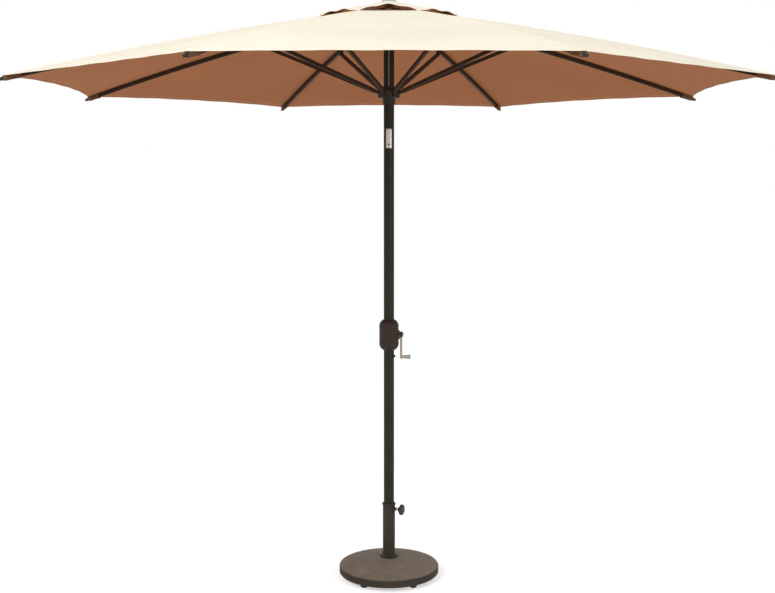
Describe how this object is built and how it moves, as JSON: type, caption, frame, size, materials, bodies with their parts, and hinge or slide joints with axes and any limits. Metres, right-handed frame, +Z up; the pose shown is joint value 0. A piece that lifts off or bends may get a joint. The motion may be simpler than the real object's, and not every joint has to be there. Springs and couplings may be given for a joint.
{
  "type": "patio umbrella with base",
  "caption": "Free-standing market umbrella with an octagonal vented canopy on folding ribs, a tilting crank-lift pole and a round cast base with a clamp knob.",
  "frame": {"origin": "on the floor at the pole's axis", "axes": "+Z up the pole, -Y to the front where the tilt slot faces, +X to the side of the crank"},
  "size_m": [3.1198, 3.1198, 2.6644],
  "materials": {
    "base_iron": "fine textured brown paint over a casting",
    "black_rubber": "moulded rubber",
    "zinc_steel": "zinc plated",
    "bronze_steel": "satin dark bronze powder coat",
    "dark_plastic": "fine moulded texture",
    "brown_plastic": "fine moulded texture",
    "bronze_aluminium": "satin dark bronze powder coat",
    "cast_silver": "bare die casting",
    "bronze_casting": "metallic light bronze paint",
    "grey_plastic": "fine moulded texture",
    "pale_nylon": "plain nylon",
    "finial_plastic": "satin moulded",
    "pale_cord": "braided cord",
    "fitting_plastic": "fine moulded texture",
    "canopy_cloth": "woven cloth, cream above and brown below"
  },
  "bodies": {
    "base": {"base_weight": "base_iron", "base_feet": "black_rubber", "tube_bolt": "zinc_steel", "base_tube": "bronze_steel", "tube_flange": "dark_plastic", "tube_collar": "dark_plastic"},
    "knob": {"clamp_screw": "zinc_steel", "clamp_knob": "dark_plastic"},
    "lower_mast": {"lower_pole": "bronze_aluminium", "pole_foot_plug": "dark_plastic", "joint_sleeve": "bronze_aluminium", "mid_pole": "bronze_aluminium", "crank_housing_front": "brown_plastic", "crank_housing_rear": "brown_plastic", "shaft_bushes": "pale_nylon", "tilt_tongue": "cast_silver", "lift_cord_lower": "pale_cord"},
    "snap": {"snap_button": "dark_plastic"},
    "crank": {"crank_shaft": "zinc_steel", "cord_drum": "pale_nylon", "crank_arm": "bronze_casting"},
    "grip": {"crank_grip": "grey_plastic"},
    "button": {"tilt_button": "dark_plastic"},
    "upper_mast": {"upper_pole": "bronze_aluminium", "tilt_sleeve": "pale_nylon", "tilt_pins": "zinc_steel", "pulley_axle": "zinc_steel", "top_hub": "dark_plastic", "hub_pins": "zinc_steel", "finial": "finial_plastic", "lift_cord_upper": "pale_cord", "lift_cord_fall": "pale_cord", "canopy": "canopy_cloth", "vent_cap": "canopy_cloth"},
    "sheave": {"pulley": "pale_nylon"},
    "slider": {"runner": "dark_plastic"},
    "rib_1_body": {"rib_1": "bronze_aluminium", "rib_1_fittings": "fitting_plastic"},
    "strut_1_body": {"strut_1": "bronze_aluminium"},
    "rib_2_body": {"rib_2": "bronze_aluminium", "rib_2_fittings": "fitting_plastic"},
    "strut_2_body": {"strut_2": "bronze_aluminium"},
    "rib_3_body": {"rib_3": "bronze_aluminium", "rib_3_fittings": "fitting_plastic"},
    "strut_3_body": {"strut_3": "bronze_aluminium"},
    "rib_4_body": {"rib_4": "bronze_aluminium", "rib_4_fittings": "fitting_plastic"},
    "strut_4_body": {"strut_4": "bronze_aluminium"},
    "rib_5_body": {"rib_5": "bronze_aluminium", "rib_5_fittings": "fitting_plastic"},
    "strut_5_body": {"strut_5": "bronze_aluminium"},
    "rib_6_body": {"rib_6": "bronze_aluminium", "rib_6_fittings": "fitting_plastic"},
    "strut_6_body": {"strut_6": "bronze_aluminium"},
    "rib_7_body": {"rib_7": "bronze_aluminium", "rib_7_fittings": "fitting_plastic"},
    "strut_7_body": {"strut_7": "bronze_aluminium"},
    "rib_8_body": {"rib_8": "bronze_aluminium", "rib_8_fittings": "fitting_plastic"},
    "strut_8_body": {"strut_8": "bronze_aluminium"}
  },
  "joints": [
    {"name": "pole_swivel", "type": "hinge", "parent": "base", "child": "lower_mast", "pos_m": [0, 0, 0.1], "axis": [0, 0, 1], "continuous": true},
    {"name": "knob_turn", "type": "hinge", "parent": "base", "child": "knob", "pos_m": [0.05299, -0.02359, 0.317], "axis": [0.9135, -0.4067, 0], "range_deg": [0, 540]},
    {"name": "snap_press", "type": "slide", "parent": "lower_mast", "child": "snap", "axis": [-1, 0, 0], "range_m": [0, 0.0065], "stiffness_N_per_m": 600, "springref_m": -0.003},
    {"name": "tilt_press", "type": "slide", "parent": "lower_mast", "child": "button", "axis": [0, 1, 0], "range_m": [0, 0.003], "stiffness_N_per_m": 600, "springref_m": -0.003},
    {"name": "canopy_tilt", "type": "hinge", "parent": "lower_mast", "child": "upper_mast", "pos_m": [0, 0, 2.082], "axis": [1, 0, 0], "range_deg": [0, 35]},
    {"name": "runner_slide", "type": "slide", "parent": "upper_mast", "child": "slider", "axis": [0, 0, 1], "range_m": [-0.87582, 0], "deforming": ["canopy", "vent_cap", "lift_cord_fall"]},
    {"name": "grip_spin", "type": "hinge", "parent": "crank", "child": "grip", "pos_m": [0.08, 0, 1.025], "axis": [1, 0, 0], "continuous": true},
    {"name": "crank_turn", "type": "hinge", "parent": "lower_mast", "child": "crank", "pos_m": [0, 0, 1.128], "axis": [1, 0, 0], "continuous": true},
    {"name": "pulley_spin", "type": "hinge", "parent": "upper_mast", "child": "sheave", "pos_m": [0, -0.014, 2.52], "axis": [1, 0, 0], "continuous": true},
    {"name": "rib_1_fold", "type": "hinge", "parent": "upper_mast", "child": "rib_1_body", "pos_m": [0.04619, 0.01913, 2.6], "axis": [0.3827, -0.9239, 0], "range_deg": [-72.1, 0]},
    {"name": "strut_1_fold", "type": "hinge", "parent": "rib_1_body", "child": "strut_1_body", "pos_m": [0.59341, 0.2458, 2.47076], "axis": [0.3827, -0.9239, 0], "range_deg": [0, 134.68]},
    {"name": "rib_2_fold", "type": "hinge", "parent": "upper_mast", "child": "rib_2_body", "pos_m": [0.01913, 0.04619, 2.6], "axis": [0.9239, -0.3827, 0], "range_deg": [-72.1, 0]},
    {"name": "strut_2_fold", "type": "hinge", "parent": "rib_2_body", "child": "strut_2_body", "pos_m": [0.2458, 0.59341, 2.47076], "axis": [0.9239, -0.3827, 0], "range_deg": [0, 134.68]},
    {"name": "rib_3_fold", "type": "hinge", "parent": "upper_mast", "child": "rib_3_body", "pos_m": [-0.01913, 0.04619, 2.6], "axis": [0.9239, 0.3827, 0], "range_deg": [-72.1, 0]},
    {"name": "strut_3_fold", "type": "hinge", "parent": "rib_3_body", "child": "strut_3_body", "pos_m": [-0.2458, 0.59341, 2.47076], "axis": [0.9239, 0.3827, 0], "range_deg": [0, 134.68]},
    {"name": "rib_4_fold", "type": "hinge", "parent": "upper_mast", "child": "rib_4_body", "pos_m": [-0.04619, 0.01913, 2.6], "axis": [0.3827, 0.9239, 0], "range_deg": [-72.1, 0]},
    {"name": "strut_4_fold", "type": "hinge", "parent": "rib_4_body", "child": "strut_4_body", "pos_m": [-0.59341, 0.2458, 2.47076], "axis": [0.3827, 0.9239, 0], "range_deg": [0, 134.68]},
    {"name": "rib_5_fold", "type": "hinge", "parent": "upper_mast", "child": "rib_5_body", "pos_m": [-0.04619, -0.01913, 2.6], "axis": [-0.3827, 0.9239, 0], "range_deg": [-72.1, 0]},
    {"name": "strut_5_fold", "type": "hinge", "parent": "rib_5_body", "child": "strut_5_body", "pos_m": [-0.59341, -0.2458, 2.47076], "axis": [-0.3827, 0.9239, 0], "range_deg": [0, 134.68]},
    {"name": "rib_6_fold", "type": "hinge", "parent": "upper_mast", "child": "rib_6_body", "pos_m": [-0.01913, -0.04619, 2.6], "axis": [-0.9239, 0.3827, 0], "range_deg": [-72.1, 0]},
    {"name": "strut_6_fold", "type": "hinge", "parent": "rib_6_body", "child": "strut_6_body", "pos_m": [-0.2458, -0.59341, 2.47076], "axis": [-0.9239, 0.3827, 0], "range_deg": [0, 134.68]},
    {"name": "rib_7_fold", "type": "hinge", "parent": "upper_mast", "child": "rib_7_body", "pos_m": [0.01913, -0.04619, 2.6], "axis": [-0.9239, -0.3827, 0], "range_deg": [-72.1, 0]},
    {"name": "strut_7_fold", "type": "hinge", "parent": "rib_7_body", "child": "strut_7_body", "pos_m": [0.2458, -0.59341, 2.47076], "axis": [-0.9239, -0.3827, 0], "range_deg": [0, 134.68]},
    {"name": "rib_8_fold", "type": "hinge", "parent": "upper_mast", "child": "rib_8_body", "pos_m": [0.04619, -0.01913, 2.6], "axis": [-0.3827, -0.9239, 0], "range_deg": [-72.1, 0]},
    {"name": "strut_8_fold", "type": "hinge", "parent": "rib_8_body", "child": "strut_8_body", "pos_m": [0.59341, -0.2458, 2.47076], "axis": [-0.3827, -0.9239, 0], "range_deg": [0, 134.68]}
  ],
  "couplings": [
    {"joint": "crank_turn", "follows": "runner_slide", "rad_per_m": -76.923},
    {"joint": "pulley_spin", "follows": "runner_slide", "rad_per_m": -71.429},
    {"joint": "rib_1_fold", "follows": "runner_slide", "rad_per_m": 1.4348},
    {"joint": "strut_1_fold", "follows": "runner_slide", "rad_per_m": -2.6799},
    {"joint": "rib_2_fold", "follows": "runner_slide", "rad_per_m": 1.4348},
    {"joint": "strut_2_fold", "follows": "runner_slide", "rad_per_m": -2.6799},
    {"joint": "rib_3_fold", "follows": "runner_slide", "rad_per_m": 1.4348},
    {"joint": "strut_3_fold", "follows": "runner_slide", "rad_per_m": -2.6799},
    {"joint": "rib_4_fold", "follows": "runner_slide", "rad_per_m": 1.4348},
    {"joint": "strut_4_fold", "follows": "runner_slide", "rad_per_m": -2.6799},
    {"joint": "rib_5_fold", "follows": "runner_slide", "rad_per_m": 1.4348},
    {"joint": "strut_5_fold", "follows": "runner_slide", "rad_per_m": -2.6799},
    {"joint": "rib_6_fold", "follows": "runner_slide", "rad_per_m": 1.4348},
    {"joint": "strut_6_fold", "follows": "runner_slide", "rad_per_m": -2.6799},
    {"joint": "rib_7_fold", "follows": "runner_slide", "rad_per_m": 1.4348},
    {"joint": "strut_7_fold", "follows": "runner_slide", "rad_per_m": -2.6799},
    {"joint": "rib_8_fold", "follows": "runner_slide", "rad_per_m": 1.4348},
    {"joint": "strut_8_fold", "follows": "runner_slide", "rad_per_m": -2.6799}
  ]
}
